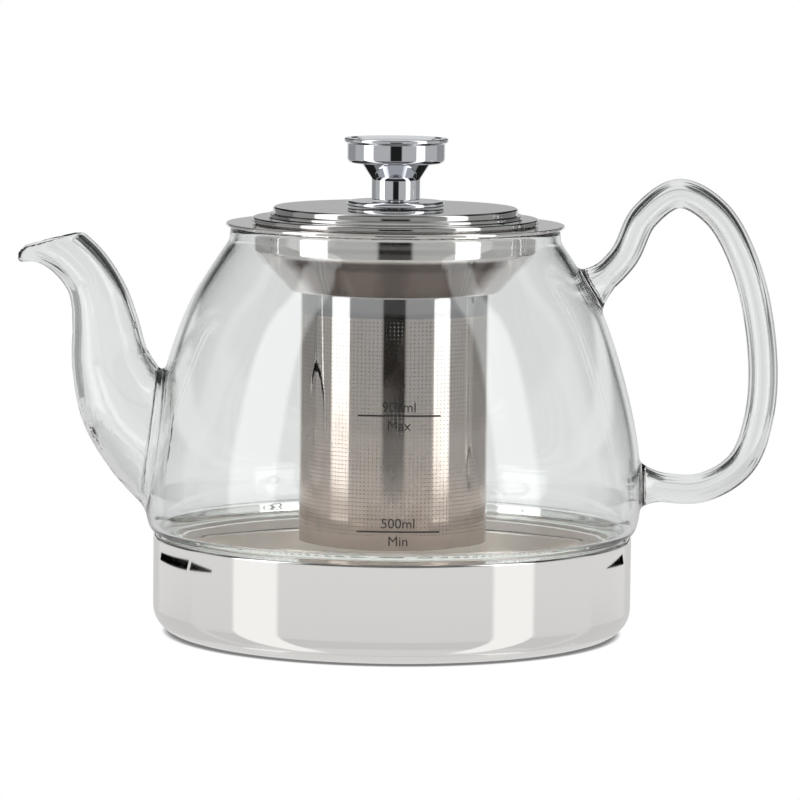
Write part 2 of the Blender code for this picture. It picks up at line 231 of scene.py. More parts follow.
# -------- the glass, as one blown and fused body
class Table:
    """A smooth function of two coordinates, tabulated once and read back by cubic interpolation."""

    def __init__(self, low, high, step, function):
        self.low = np.array(low, float)
        self.step = step
        axes = [np.arange(a, b + step, step) for a, b in zip(low, high)]
        u, v = np.meshgrid(*axes, indexing="ij")
        self.values = function(u.ravel(), v.ravel()).reshape(u.shape)

    def read(self, u, v):
        result = 0.0
        u = (u - self.low[0]) / self.step
        v = (v - self.low[1]) / self.step
        columns = np.clip(np.floor(u).astype(int), 1, self.values.shape[0] - 3)
        rows = np.clip(np.floor(v).astype(int), 1, self.values.shape[1] - 3)
        u_weights = cubic_weights(u - columns)
        v_weights = cubic_weights(v - rows)
        for i in range(4):
            line = 0.0
            for j in range(4):
                line = line + v_weights[j] * self.values[columns + i - 1, rows + j - 1]
            result = result + u_weights[i] * line
        return result


def cubic_weights(t):
    return (((-t + 2) * t - 1) * t / 2, ((3 * t - 5) * t * t + 2) / 2,
            ((-3 * t + 4) * t + 1) * t / 2, (t - 1) * t * t / 2)


def nearest_on(path, u, v):
    """Squared distance from each point to a polyline, and how far along it the nearest place is."""
    best = np.full(len(u), np.inf)
    place = np.zeros(len(u))
    for index, (a, b) in enumerate(zip(path, path[1:])):
        span = b - a
        share = np.clip(((u - a[0]) * span[0] + (v - a[1]) * span[1]) / (span @ span), 0, 1)
        squared = (u - a[0] - share * span[0]) ** 2 + (v - a[1] - share * span[1]) ** 2
        closer = squared < best
        best = np.where(closer, squared, best)
        place = np.where(closer, index + share, place)
    return best, place


def blend_min(a, b, reach):
    h = np.clip(0.5 + 0.5 * (b - a) / reach, 0, 1)
    return b * (1 - h) + a * h - reach * h * (1 - h)


def blend_max(a, b, reach):
    return -blend_min(-a, -b, reach)


class GlassForm:
    """Signed distance to the glass: a turned bell, a spout and a handle fused with soft fillets."""

    ROOT_FILLET = 2.6
    WELD_FILLET = 1.3
    WALL_ROUND = 0.4
    RIM_ROUND = 1.3
    NOSE_ROUND = 3.0
    BELL_RANGE = (-2, 10), (118, 132)           # low and high corners of each table
    SPOUT_RANGE = (-116, 20), (-30, 132)
    HANDLE_RANGE = (34, 20), (116, 132)

    def __init__(self):
        outline = bell_outline()
        past = np.vstack([[NECK_RADIUS, RIM_HEIGHT + 20], outline, [FOOT_RADIUS, FOOT_BOTTOM - 12]])

        def bell(r, z):
            squared, _ = nearest_on(past, r, z)
            side = np.interp(z, past[::-1, 1], past[::-1, 0])
            return np.where(r < side, -1, 1) * np.sqrt(squared)

        self.bell = Table(*self.BELL_RANGE, TABLE_STEP, bell)
        spout = np.array([tuple(point) for point in smooth_path(SPOUT_STATIONS, CURVE_STEPS)])

        def off_spout(part):
            return lambda x, z: nearest_on(spout[:, :2], x, z)[part]

        self.spout_radius = spout[:, 2]
        self.spout = Table(*self.SPOUT_RANGE, TABLE_STEP, off_spout(0))
        self.spout_place = Table(*self.SPOUT_RANGE, TABLE_STEP, off_spout(1))
        handle = np.array([tuple(point) for point in smooth_path(HANDLE_PATH, CURVE_STEPS)])
        self.handle = Table(*self.HANDLE_RANGE, TABLE_STEP, lambda x, z: nearest_on(handle, x, z)[0])
        crest, tip = np.array(MOUTH_CREST), np.array(MOUTH_TIP)
        along = (crest - tip) / np.linalg.norm(crest - tip)
        self.mouth_normal = np.array((-along[1], along[0]))
        self.mouth_offset = self.mouth_normal @ crest

    def distance(self, p):
        x, y, z = p[:, 0], p[:, 1], p[:, 2]
        bell = self.bell.read(np.hypot(x, y), z)
        glass = bell
        inside = bell + GLASS_WALL

        left = x < SPOUT_SIDE
        xs, ys, zs = x[left], y[left], z[left]
        run = np.sqrt(np.maximum(self.spout.read(xs, zs), 0) + ys * ys)
        place = self.spout_place.read(xs, zs)
        spout = run - np.interp(place, np.arange(len(self.spout_radius)), self.spout_radius)
        fused = blend_min(bell[left], spout, self.ROOT_FILLET)
        mouth = xs * self.mouth_normal[0] + zs * self.mouth_normal[1] - self.mouth_offset
        glass = glass.copy()
        inside[left] = blend_min(inside[left], spout + SPOUT_WALL, self.ROOT_FILLET)

        right = x > HANDLE_SIDE
        xh, yh, zh = x[right], y[right], z[right]
        run = np.sqrt(np.maximum(self.handle.read(xh, zh), 0) + yh * yh)
        flare = HANDLE_FLARE * np.clip(1 - np.maximum(bell[right], 0) / HANDLE_FLARE_REACH, 0, 1) ** 2
        handle = run - HANDLE_RADIUS - flare
        void = blend_max(run - HANDLE_BORE - flare, HANDLE_WEB - bell[right], HANDLE_WEB_ROUND)

        glass[left] = fused
        glass[right] = blend_min(bell[right], handle, self.WELD_FILLET)
        glass = blend_max(glass, -inside, self.WALL_ROUND)
        opening = blend_max(mouth, SPOUT_END - xs, self.NOSE_ROUND)
        glass[left] = blend_max(glass[left], opening, self.RIM_ROUND)
        glass[right] = np.maximum(glass[right], -void)
        near_top = blend_max(glass, z - RIM_HEIGHT, self.RIM_ROUND)
        glass = np.where(np.hypot(x, y) < RIM_ZONE, near_top, glass)
        return blend_max(glass, FOOT_BOTTOM - z, self.RIM_ROUND)

    def gradient(self, p, step=0.04):
        slopes = []
        for axis in np.eye(3) * step:
            slopes.append((self.distance(p + axis) - self.distance(p - axis)) / (2 * step))
        return np.stack(slopes, 1)


def sample_near_surface(form, axes, pitch, block=4):
    """Distances on the grid's nodes; blocks far from the surface only get their sign."""
    counts = [-(-len(axis) // block) for axis in axes]
    middles = [axis[0] + pitch * (block * np.arange(count) + (block - 1) / 2)
               for axis, count in zip(axes, counts)]
    mesh = np.meshgrid(*middles, indexing="ij")
    coarse = form.distance(np.stack([part.ravel() for part in mesh], 1)).reshape(counts)
    near = np.abs(coarse) < NEAR_FACTOR * pitch * block

    def spread(array):
        for axis in range(3):
            array = np.repeat(array, block, axis)
        return array[tuple(slice(0, len(axis)) for axis in axes)]

    values = spread(np.where(coarse < 0, -1.0, 1.0) * pitch * block)
    nodes = np.argwhere(spread(near))
    corner = np.array([axis[0] for axis in axes])
    for part in np.array_split(nodes, max(1, len(nodes) // BATCH)):
        values[tuple(part.T)] = form.distance(corner + pitch * part)
    return values


def settle(form, points, rounds):
    """Move points onto the surface, and give the surface's normals there."""
    for _ in range(rounds):
        slope = form.gradient(points)
        points = points - slope * (form.distance(points) / np.maximum((slope ** 2).sum(1), 0.2))[:, None]
    normals = form.gradient(points)
    return points, normals / np.linalg.norm(normals, axis=1)[:, None]


def net_points(values, cells):
    """Mean place of the surface's crossings with each cell's edges, counted in cells of the grid."""
    total = np.zeros((len(cells), 3))
    hits = np.zeros(len(cells))
    for a in CELL_CORNERS:
        for axis in range(3):
            if a[axis]:
                continue
            b = tuple(1 if n == axis else a[n] for n in range(3))
            va = values[tuple((cells + a).T)]
            vb = values[tuple((cells + b).T)]
            crossed = (va < 0) != (vb < 0)
            share = np.where(crossed, va / np.where(crossed, va - vb, 1), 0)
            spot = np.array(a, float) + share[:, None] * np.eye(3)[axis]
            total += np.where(crossed[:, None], spot, 0)
            hits += crossed
    return cells + total / hits[:, None]


def net_faces(solid, index_of):
    """One quad across each grid edge that the surface crosses, facing away from the solid."""
    faces = []
    for axis in range(3):
        across, up = (axis + 1) % 3, (axis + 2) % 3
        ahead = tuple(slice(1, None) if n == axis else slice(None) for n in range(3))
        behind = tuple(slice(None, -1) if n == axis else slice(None) for n in range(3))
        for sign in (False, True):
            edges = np.argwhere((solid[behind] != solid[ahead]) & (solid[behind] == sign))
            ring = []
            for da, du in ((0, 0), (-1, 0), (-1, -1), (0, -1)):
                cell = edges.copy()
                cell[:, across] += da
                cell[:, up] += du
                ring.append(index_of[tuple(cell.T)])
            faces.append(np.stack(ring if sign else ring[::-1], 1))
    return np.vstack(faces)


def net_mesh(form, low, high, pitch):
    """The zero surface of form as quads, with one vertex in each grid cell that it crosses."""
    axes = [np.arange(a, b, pitch) for a, b in zip(low, high)]
    values = sample_near_surface(form, axes, pitch)
    solid = values < 0
    shape = [size - 1 for size in values.shape]
    count = sum(solid[tuple(slice(c, c + size) for c, size in zip(corner, shape))].astype(np.int8)
                for corner in CELL_CORNERS)
    cells = np.argwhere((count > 0) & (count < 8))
    index_of = np.full(shape, -1)
    index_of[tuple(cells.T)] = np.arange(len(cells))
    points = np.array([axis[0] for axis in axes]) + pitch * net_points(values, cells)
    return points, net_faces(solid, index_of)


def mesh_from_arrays(name, points, faces):
    mesh = bpy.data.meshes.new(name)
    mesh.vertices.add(len(points))
    mesh.vertices.foreach_set("co", (points * MM).astype(np.float32).ravel())
    sides = faces.shape[1]
    mesh.loops.add(faces.size)
    mesh.loops.foreach_set("vertex_index", faces.astype(np.int32).ravel())
    mesh.polygons.add(len(faces))
    mesh.polygons.foreach_set("loop_start", np.arange(0, faces.size, sides, dtype=np.int32))
    mesh.update(calc_edges=True)
    mesh.validate()
    return mesh


def thinned(mesh, triangles):
    """The same surface with about that many triangles, kept dense where it curves."""
    sides = sum(len(face.vertices) - 2 for face in mesh.polygons)
    guide = bpy.data.objects.new("guide", mesh)
    bpy.context.scene.collection.objects.link(guide)
    decimate = guide.modifiers.new("Thin", "DECIMATE")
    decimate.ratio = min(1.0, triangles / sides)
    depsgraph = bpy.context.evaluated_depsgraph_get()
    result = bpy.data.meshes.new_from_object(guide.evaluated_get(depsgraph))
    bpy.data.objects.remove(guide, do_unlink=True)
    bpy.data.meshes.remove(mesh)
    return result


def build_glass():
    form = GlassForm()
    points, faces = net_mesh(form, GLASS_LOW, GLASS_HIGH, GLASS_PITCH)
    points, _ = settle(form, points, 1)
    mesh = thinned(mesh_from_arrays("jug_glass", points, faces), GLASS_TRIANGLES)
    mesh.name = "jug_glass"
    points = np.empty(len(mesh.vertices) * 3, np.float32)
    mesh.vertices.foreach_get("co", points)
    points, normals = settle(form, points.reshape(-1, 3) / MM, 2)
    mesh.vertices.foreach_set("co", (points * MM).astype(np.float32).ravel())
    mesh.shade_smooth()
    mesh.normals_split_custom_set_from_vertices(normals.tolist())
    return add_piece("jug_glass", mesh, glass_material(), "jug",
                     ("glass_body", "glass_spout", "glass_handle"))


# -------- pieces
def add_piece(name, mesh, material, body, nodes=()):
    obj = bpy.data.objects.new(name, mesh)
    bpy.context.scene.collection.objects.link(obj)
    mesh.materials.append(material)
    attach(obj, body)
    if nodes:
        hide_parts(*nodes)
    return obj


def turned(name, outline, material, body, nodes=(), loop=False):
    """Turn an outline that runs down its outer side about the Z axis; loop joins its two ends."""
    mesh = bpy.data.meshes.new(name)
    points = [(point[0] * MM, 0.0, point[1] * MM) for point in outline]
    edges = [(index, index + 1) for index in range(len(points) - 1)]
    if loop:
        edges.append((len(points) - 1, 0))
    mesh.from_pydata(points, edges, [])
    obj = add_piece(name, mesh, material, body, nodes)
    screw = obj.modifiers.new("Turn", "SCREW")
    screw.angle = math.tau
    screw.steps = TURN_STEPS
    screw.render_steps = TURN_STEPS
    screw.use_merge_vertices = True
    screw.merge_threshold = MERGE_DISTANCE
    screw.use_smooth_shade = True
    depsgraph = bpy.context.evaluated_depsgraph_get()
    done = bpy.data.meshes.new_from_object(obj.evaluated_get(depsgraph))
    done.name = name
    obj.modifiers.clear()
    obj.data = done
    done.shade_smooth()
    done.set_sharp_from_angle(angle=SHARP_EDGE)
    weighted = obj.modifiers.new("Normals", "WEIGHTED_NORMAL")
    weighted.keep_sharp = True
    return obj


def build_base(steel, satin, aluminium, silicone):
    turned("base_cup_shell", rounded(
        ((CUP_BORE, BASE_HEIGHT), (BASE_RADIUS, BASE_HEIGHT, BASE_RIM_ROUND),
         (BASE_RADIUS, 0.0, BASE_CORNER), (0.0, 0.0), (0.0, BASE_WALL),
         (CUP_BORE, BASE_WALL, BASE_CORNER - BASE_WALL))),
        steel, "jug", ("base_cup",), loop=True)
    turned("floor_liner_pan", rounded(
        ((LINER_OUTER_RADIUS - LINER_WALL, LINER_LEDGE, 0.7), (CUP_BORE - CLEARANCE, LINER_LEDGE),
         (CUP_BORE - CLEARANCE, LINER_LEDGE - LINER_WALL),
         (LINER_OUTER_RADIUS, LINER_LEDGE - LINER_WALL), (LINER_OUTER_RADIUS, LINER_UNDER, LINER_CORNER),
         (0.0, LINER_UNDER), (0.0, LINER_UNDER + LINER_WALL),
         (LINER_OUTER_RADIUS - LINER_WALL, LINER_UNDER + LINER_WALL, LINER_CORNER - LINER_WALL))),
        satin, "jug", ("floor_liner",), loop=True)
    low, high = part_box("heat_spreader")
    turned("heat_spreader_disc", rounded(
        ((0.0, high.z / MM), (high.y / MM, high.z / MM, 0.3), (high.y / MM, low.z / MM, 0.3),
         (0.0, low.z / MM))), aluminium, "jug", ("heat_spreader",))
    lip_outer = FOOT_RADIUS - GLASS_WALL - CLEARANCE
    seal_bottom = bottom("base_seal")
    seal_top = top("base_seal")
    turned("base_seal_ring", rounded(
        ((FOOT_RADIUS + CLEARANCE, seal_top), (CUP_BORE - CLEARANCE, seal_top, 0.3),
         (CUP_BORE - CLEARANCE, seal_bottom), (lip_outer - SEAL_LIP, seal_bottom),
         (lip_outer - SEAL_LIP, seal_top - SEAL_STEP, 0.3), (lip_outer, seal_top - SEAL_STEP),
         (lip_outer, FOOT_BOTTOM - FOOT_GAP), (FOOT_RADIUS + CLEARANCE, FOOT_BOTTOM - FOOT_GAP)), 4),
        silicone, "jug", ("base_seal",), loop=True)


def build_collar(steel):
    turned("infuser_collar_pressing", rounded(
        ((FLANGE_RADIUS, FLANGE_TOP, 0.3), (FLANGE_RADIUS, FLANGE_BOTTOM, 0.3),
         (COLLAR_RADIUS, FLANGE_BOTTOM, 0.5),
         (COLLAR_RADIUS, COLLAR_WALL_BOTTOM, 1.2), (BOWL_RADIUS, BOWL_BOTTOM, 1.8),
         (SLEEVE_RADIUS + CLEARANCE, BOWL_BOTTOM - 0.6), (SLEEVE_RADIUS + CLEARANCE, BOWL_BOTTOM),
         (BOWL_RADIUS - 0.3, BOWL_BOTTOM + SHEET, 1.2),
         (COLLAR_RADIUS - SHEET, COLLAR_WALL_BOTTOM + 0.4, 0.6), (COLLAR_RADIUS - SHEET, FLANGE_TOP, 1.0))),
        steel, "infuser", ("infuser_collar",), loop=True)


def add_block(points, block):
    """Append a block of points, and give the number of its first one."""
    start = sum(len(part) for part in points)
    points.append(block)
    return start


def on_cylinder(radius, angle, height):
    return np.stack([radius * np.cos(angle), radius * np.sin(angle), height], -1)


def sleeve_side(points, radius, heights, angle):
    """Points of one side of the sheet: the grid's corners, then the corners of the hole in each cell."""
    pitch, turn = heights[1] - heights[0], angle[1]
    z, a = np.meshgrid(heights, angle, indexing="ij")
    corner_start = add_block(points, on_cylinder(radius, a, z).reshape(-1, 3))
    z, a = np.meshgrid(heights[:-1], angle, indexing="ij")
    rim = [on_cylinder(radius, a + du * turn, z + dv * pitch) for du, dv in HOLE_CORNERS]
    return corner_start, add_block(points, np.stack(rim, 2).reshape(-1, 3))


def perforated_faces(rows, columns, starts):
    """Four quads round each hole on both sides of the sheet, and the walls of the holes."""
    grid = np.arange(columns * (rows + 1)).reshape(rows + 1, columns)
    holes = np.arange(columns * rows * 4).reshape(rows, columns, 4)
    after = np.roll(grid, -1, axis=1)
    cell = np.stack([grid[:-1], after[:-1], after[1:], grid[1:]], -1)
    faces = []
    for side, (corner_start, hole_start) in enumerate(starts):
        for i in range(4):
            j = (i + 1) % 4
            quad = np.stack([cell[..., i] + corner_start, cell[..., j] + corner_start,
                             holes[..., j] + hole_start, holes[..., i] + hole_start], -1).reshape(-1, 4)
            faces.append(quad[:, ::-1] if side else quad)
    outer, inner = starts[0][1], starts[1][1]
    for i in range(4):
        j = (i + 1) % 4
        faces.append(np.stack([holes[..., i] + outer, holes[..., j] + outer,
                               holes[..., j] + inner, holes[..., i] + inner], -1).reshape(-1, 4))
    return faces


def sleeve_end(points, outline, angle, first, last, flip):
    """Bands of quads along an outline that joins the sheet's outer side to its inner side."""
    rings = [first]
    for radius, height in outline:
        start = add_block(points, on_cylinder(radius, angle, np.full(len(angle), height)))
        rings.append(np.arange(len(angle)) + start)
    rings.append(last)
    faces = []
    for a, b in zip(rings, rings[1:]):
        quad = np.stack([a, np.roll(a, -1), np.roll(b, -1), b], -1)
        faces.append(quad[:, ::-1] if flip else quad)
    return faces


def build_sleeve(steel):
    """Cylinder of perforated sheet with a lip at its top and a plain band at its foot."""
    columns = round(math.tau * SLEEVE_RADIUS / HOLE_PITCH)
    rows = round((PERFORATED_TO - PERFORATED_FROM) / HOLE_PITCH)
    angle = np.arange(columns) * (math.tau / columns)
    heights = PERFORATED_FROM + (PERFORATED_TO - PERFORATED_FROM) / rows * np.arange(rows + 1)
    inner = SLEEVE_RADIUS - SHEET
    points = []
    starts = [sleeve_side(points, radius, heights, angle) for radius in (SLEEVE_RADIUS, inner)]
    faces = perforated_faces(rows, columns, starts)

    lip = SLEEVE_RADIUS + SLEEVE_LIP
    under = BOWL_BOTTOM + CLEARANCE
    above = rounded(((SLEEVE_RADIUS, under), (lip, under), (lip, SLEEVE_TOP, 0.2),
                     (inner, SLEEVE_TOP, 0.2)), 3)
    below = ((SLEEVE_RADIUS, SLEEVE_BOTTOM), (inner, SLEEVE_BOTTOM))
    ring = np.arange(columns)
    for outline, edge, flip in ((above, ring + columns * rows, False), (below, ring, True)):
        faces += sleeve_end(points, outline, angle, edge + starts[0][0], edge + starts[1][0], flip)
    mesh = mesh_from_arrays("infuser_sleeve_mesh", np.vstack(points), np.vstack(faces))
    mesh.shade_smooth()
    mesh.set_sharp_from_angle(angle=SHARP_EDGE)
    return add_piece("infuser_sleeve_mesh", mesh, steel, "infuser", ("infuser_sleeve",))


def build_infuser_base(steel):
    outer = SLEEVE_RADIUS - SHEET - CLEARANCE
    base = SLEEVE_BOTTOM
    skirt = top("infuser_base")
    turned("infuser_base_cap", rounded(
        ((outer - SHEET, skirt), (outer, skirt), (outer, base, 1.2), (CAP_RING, base, 0.8),
         (CAP_RING - 0.8, base + CAP_RISE, 0.8), (0.0, base + CAP_RISE), (0.0, base + CAP_RISE + SHEET),
         (CAP_RING - 0.6, base + CAP_RISE + SHEET, 0.8), (CAP_RING + 0.2, base + SHEET, 0.8),
         (outer - SHEET, base + SHEET, 0.6)), 4),
        steel, "infuser", ("infuser_base",), loop=True)


def build_lid(steel, satin):
    under = LID_DISC_TOP - SHEET
    turned("lid_cover_pressing", rounded(
        ((SCREW_HOLE, LID_DISC_TOP), (LID_DISC_RADIUS, LID_DISC_TOP, 0.8),
         (LID_DISC_RADIUS, LID_STEP_TOP, 0.25),
         (LID_STEP_RADIUS, LID_STEP_TOP, 0.3), (LID_STEP_RADIUS, LID_RIM_TOP, 0.25),
         (LID_RADIUS, LID_RIM_TOP, 0.6), (LID_RADIUS, LID_BOTTOM, 0.15),
         (LID_RADIUS - SHEET, LID_BOTTOM, 0.15),
         (LID_RADIUS - SHEET, LID_RIM_TOP - SHEET, 0.2), (LID_STEP_RADIUS - SHEET, LID_RIM_TOP - SHEET),
         (LID_STEP_RADIUS - SHEET, LID_STEP_TOP - SHEET), (LID_DISC_RADIUS - SHEET, LID_STEP_TOP - SHEET),
         (LID_DISC_RADIUS - SHEET, under, 0.4), (SCREW_HOLE, under)), 5),
        steel, "lid", ("lid_cover",), loop=True)
    turned("lid_skirt_ring", rounded(
        ((SKIRT_INNER, SKIRT_TOP), (SKIRT_RADIUS, SKIRT_TOP, 0.5), (SKIRT_RADIUS, SKIRT_BOTTOM, 0.25),
         (SKIRT_RADIUS - SHEET, SKIRT_BOTTOM, 0.25), (SKIRT_RADIUS - SHEET, SKIRT_TOP - SHEET),
         (SKIRT_INNER, SKIRT_TOP - SHEET)), 4),
        satin, "lid", ("lid_skirt",), loop=True)


def build_knob(chrome, fastener):
    turned("knob_rosette_disc", rounded(
        ((SCREW_HOLE, ROSETTE_TOP), (ROSETTE_RADIUS, ROSETTE_TOP, 0.9),
         (ROSETTE_RADIUS, ROSETTE_BOTTOM, 0.4), (SCREW_HOLE, ROSETTE_BOTTOM))),
        chrome, "lid", ("knob_rosette",), loop=True)
    turned("knob_head", rounded(
        ((0.0, KNOB_TOP - 0.5), (KNOB_LIP_RADIUS - 2.2, KNOB_TOP - 0.5, 1.5),
         (KNOB_LIP_RADIUS - 1.2, KNOB_TOP, 0.5), (KNOB_LIP_RADIUS, KNOB_TOP, 0.45),
         (KNOB_LIP_RADIUS, KNOB_LIP_BOTTOM, 0.4),
         (KNOB_HEAD_RADIUS, KNOB_LIP_BOTTOM - 0.4, 0.4), (KNOB_HEAD_RADIUS, KNOB_HEAD_BOTTOM, 1.4),
         (KNOB_CONE_RADIUS, KNOB_HEAD_BOTTOM, 0.4), (KNOB_NECK_RADIUS, KNOB_NECK_TOP, 2.4),
         (KNOB_NECK_RADIUS, KNOB_BOTTOM, 0.3), (SCREW_HOLE, KNOB_BOTTOM),
         (SCREW_HOLE, SCREW_TIP + 1.0), (0.0, SCREW_TIP + 1.0))),
        chrome, "lid", ("knob",))
    turned("lid_screw_pan_head", rounded(
        ((0.0, SCREW_TIP), (SCREW_RADIUS - 0.5, SCREW_TIP), (SCREW_RADIUS, SCREW_TIP - 0.5),
         (SCREW_RADIUS, SCREW_HEAD_TOP), (SCREW_HEAD_RADIUS, SCREW_HEAD_TOP),
         (SCREW_HEAD_RADIUS, SCREW_HEAD_BOTTOM, 1.0), (0.0, SCREW_HEAD_BOTTOM))),
        fastener, "lid", ("lid_screw",))
    low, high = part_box("lid_washer")
    turned("lid_washer_ring", rounded(
        ((SCREW_HOLE, high.z / MM), (high.y / MM, high.z / MM, 0.2), (high.y / MM, low.z / MM, 0.2),
         (SCREW_HOLE, low.z / MM)), 3), fastener, "lid", ("lid_washer",), loop=True)


# -------- level marks on the front of the jug
MARK_WIDTH = 22.5
MARK_MIDDLE = 1.6               # the print sits a little towards the handle
MARK_LINE = 0.45
MARK_TEXT = 3.8
MARK_STEPS = 24
VOLUME_ABOVE = 1.0              # from a mark's line up to the foot of its figure
WORD_BELOW = 3.9                # and down to the foot of its word
INK_THICKNESS = 0.05
INK_LIFT = 0.03
LEVEL_MARKS = (("max", "900ml", "Max", 68.95), ("min", "500ml", "Min", 37.7))


def wrap_on_jug(mesh, outline):
    """Lay a flat mesh in the XZ plane, with its thickness along Y, on the front of the bell."""
    heights, radii = outline[::-1, 1], outline[::-1, 0]
    for vertex in mesh.vertices:
        x, y, z = vertex.co / MM
        reach = np.interp(z, heights, radii) + INK_LIFT - y
        vertex.co = Vector((x, -math.sqrt(reach ** 2 - x ** 2), z)) * MM


def mark_line(name, height, ink, outline):
    """A thin bar with four corners at each step along it, bent onto the jug."""
    corners = ((0.0, -0.5), (0.0, 0.5), (-INK_THICKNESS, 0.5), (-INK_THICKNESS, -0.5))
    points = []
    for step in range(MARK_STEPS + 1):
        x = MARK_MIDDLE + MARK_WIDTH * (step / MARK_STEPS - 0.5)
        points += [(x * MM, y * MM, (height + side * MARK_LINE) * MM) for y, side in corners]
    faces = [(3, 2, 1, 0), tuple(range(len(points) - 4, len(points)))]
    for start in range(0, len(points) - 4, 4):
        for i, j in ((0, 1), (1, 2), (2, 3), (3, 0)):
            faces.append((start + i, start + j, start + j + 4, start + i + 4))
    mesh = bpy.data.meshes.new(name)
    mesh.from_pydata(points, [], faces)
    wrap_on_jug(mesh, outline)
    add_piece(name, mesh, ink, "jug")


def mark_text(name, words, height, ink, outline):
    curve = bpy.data.curves.new(name, "FONT")
    curve.body = words
    curve.size = MARK_TEXT * MM
    curve.align_x = "CENTER"
    curve.extrude = INK_THICKNESS / 2 * MM
    guide = bpy.data.objects.new(name + "_guide", curve)
    bpy.context.scene.collection.objects.link(guide)
    depsgraph = bpy.context.evaluated_depsgraph_get()
    mesh = bpy.data.meshes.new_from_object(guide.evaluated_get(depsgraph))
    bpy.data.objects.remove(guide, do_unlink=True)
    for vertex in mesh.vertices:
        x, y, z = vertex.co
        vertex.co = (x + MARK_MIDDLE * MM, -z - INK_THICKNESS / 2 * MM, y + height * MM)
    wrap_on_jug(mesh, outline)
    mesh.name = name
    add_piece(name, mesh, ink, "jug")


def build_marks(ink):
    outline = bell_outline()
    for label, volume, word, height in LEVEL_MARKS:
        mark_line("mark_line_" + label, height, ink, outline)
        mark_text("mark_volume_" + label, volume, height + VOLUME_ABOVE, ink, outline)
        mark_text("mark_word_" + label, word, height - WORD_BELOW, ink, outline)


# -------- materials
# Plain metals: colour, roughness and the depth in metres of the slow waviness left by pressing
METALS = {
    "mirror_steel": ((0.865, 0.85, 0.83), 0.035, 0.00003),
    # Painted shade: the lid's steel is a darker copy of the mirror steel, standing in for the darker
    # reflection on the lid.
    "lid_steel": ((0.50, 0.49, 0.485), 0.05, 0.00003),
    "chrome": ((0.78, 0.79, 0.83), 0.02, 0.00001),
    "fastener_steel": ((0.58, 0.58, 0.57), 0.25, 0.0),
    "spreader_aluminium": ((0.72, 0.73, 0.74), 0.4, 0.0),
    "infuser_cap_steel": ((0.70, 0.63, 0.58), 0.12, 0.00004),
}
COLLAR_STEEL = (0.80, 0.775, 0.76, 1.0)
# Dark and light colours of the painted reflection in the collar's bowl.
PAINTED_REFLECTION_DARK = (0.10, 0.082, 0.076, 1.0)
PAINTED_REFLECTION_LIGHT = (0.21, 0.172, 0.155, 1.0)
LINER_STEEL = (0.93, 0.875, 0.82, 1.0)
SLEEVE_PLAIN = (0.50, 0.49, 0.50, 1.0)
# Ends of the painted reflection on the sleeve's mesh, at the top and at the foot.
SLEEVE_PAINTED_TOP = (0.70, 0.655, 0.63, 1.0)
SLEEVE_PAINTED_FOOT = (0.56, 0.46, 0.395, 1.0)
GLASS_TINT = (0.985, 0.993, 0.99, 1.0)
GLASS_SHADOW = (0.95, 0.965, 0.96, 1.0)
GLASS_INDEX = 1.474
SILICONE = (0.90, 0.87, 0.835, 1.0)
INK = (0.02, 0.019, 0.018, 1.0)
WHITE = (1.0, 1.0, 1.0, 1.0)
GLASS_RIPPLE = 0.00012          # depths of surface waves, in metres
SILICONE_GRAIN = 0.00002
SHEET_WAVE = 0.00006
LINER_WAVE = 0.00004


class Shader:
    """A material's node tree with short ways to add and join nodes."""

    def __init__(self, name):
        self.material = bpy.data.materials.new(name)
        self.material.use_nodes = True
        self.tree = self.material.node_tree
        self.main = self.tree.nodes["Principled BSDF"]
        self.output = self.tree.nodes["Material Output"]

    def node(self, kind, inputs=(), **settings):
        made = self.tree.nodes.new("ShaderNode" + kind)
        for key, value in settings.items():
            setattr(made, key, value)
        for key, value in dict(inputs).items():
            if isinstance(value, bpy.types.NodeSocket):
                self.tree.links.new(value, made.inputs[key])
            else:
                made.inputs[key].default_value = value
        return made

    def math(self, operation, a, b=0.0):
        return self.node("Math", {0: a, 1: b}, operation=operation).outputs[0]

    def remap(self, value, from_min, from_max, to_min, to_max):
        return self.node("MapRange", {"Value": value, "From Min": from_min, "From Max": from_max,
                                      "To Min": to_min, "To Max": to_max}).outputs[0]

    def noise(self, vector, scale, detail=2.0):
        return self.node("TexNoise", {"Vector": vector, "Scale": scale, "Detail": detail}).outputs["Fac"]

    def place(self):
        return self.node("TexCoord").outputs["Object"]

    def height(self):
        return self.node("SeparateXYZ", {0: self.place()}).outputs[2]

    def mix(self, share, first, second):
        return self.node("MixRGB", {0: share, 1: first, 2: second}).outputs[0]

    def around(self):
        """Coordinates (radius, a short arc, height), so that noise draws lines round a turned surface."""
        parts = self.node("SeparateXYZ", {0: self.place()}).outputs
        radius = self.math("SQRT", self.math("ADD", self.math("MULTIPLY", parts[0], parts[0]),
                                             self.math("MULTIPLY", parts[1], parts[1])))
        angle = self.math("ARCTAN2", parts[1], parts[0])
        arc = self.math("MULTIPLY", angle, MM)
        return self.node("CombineXYZ", {0: radius, 1: arc, 2: parts[2]}).outputs[0]

    def bump(self, pattern, depth):
        made = self.node("Bump", {"Height": self.math("MULTIPLY", pattern, depth), "Distance": 1.0,
                                  "Strength": 1.0})
        self.tree.links.new(made.outputs["Normal"], self.main.inputs["Normal"])

    def set(self, **values):
        for key, value in values.items():
            socket = self.main.inputs[key.replace("_", " ")]
            if isinstance(value, bpy.types.NodeSocket):
                self.tree.links.new(value, socket)
            else:
                socket.default_value = value


def metal_material(name):
    """Polished metal: a slow waviness from pressing, fine polishing lines and a patchy sheen."""
    color, roughness, waviness = METALS[name]
    shader = Shader(name)
    shader.set(Base_Color=(*color, 1.0), Metallic=1.0)
    polish(shader, roughness, waviness)
    return shader.material


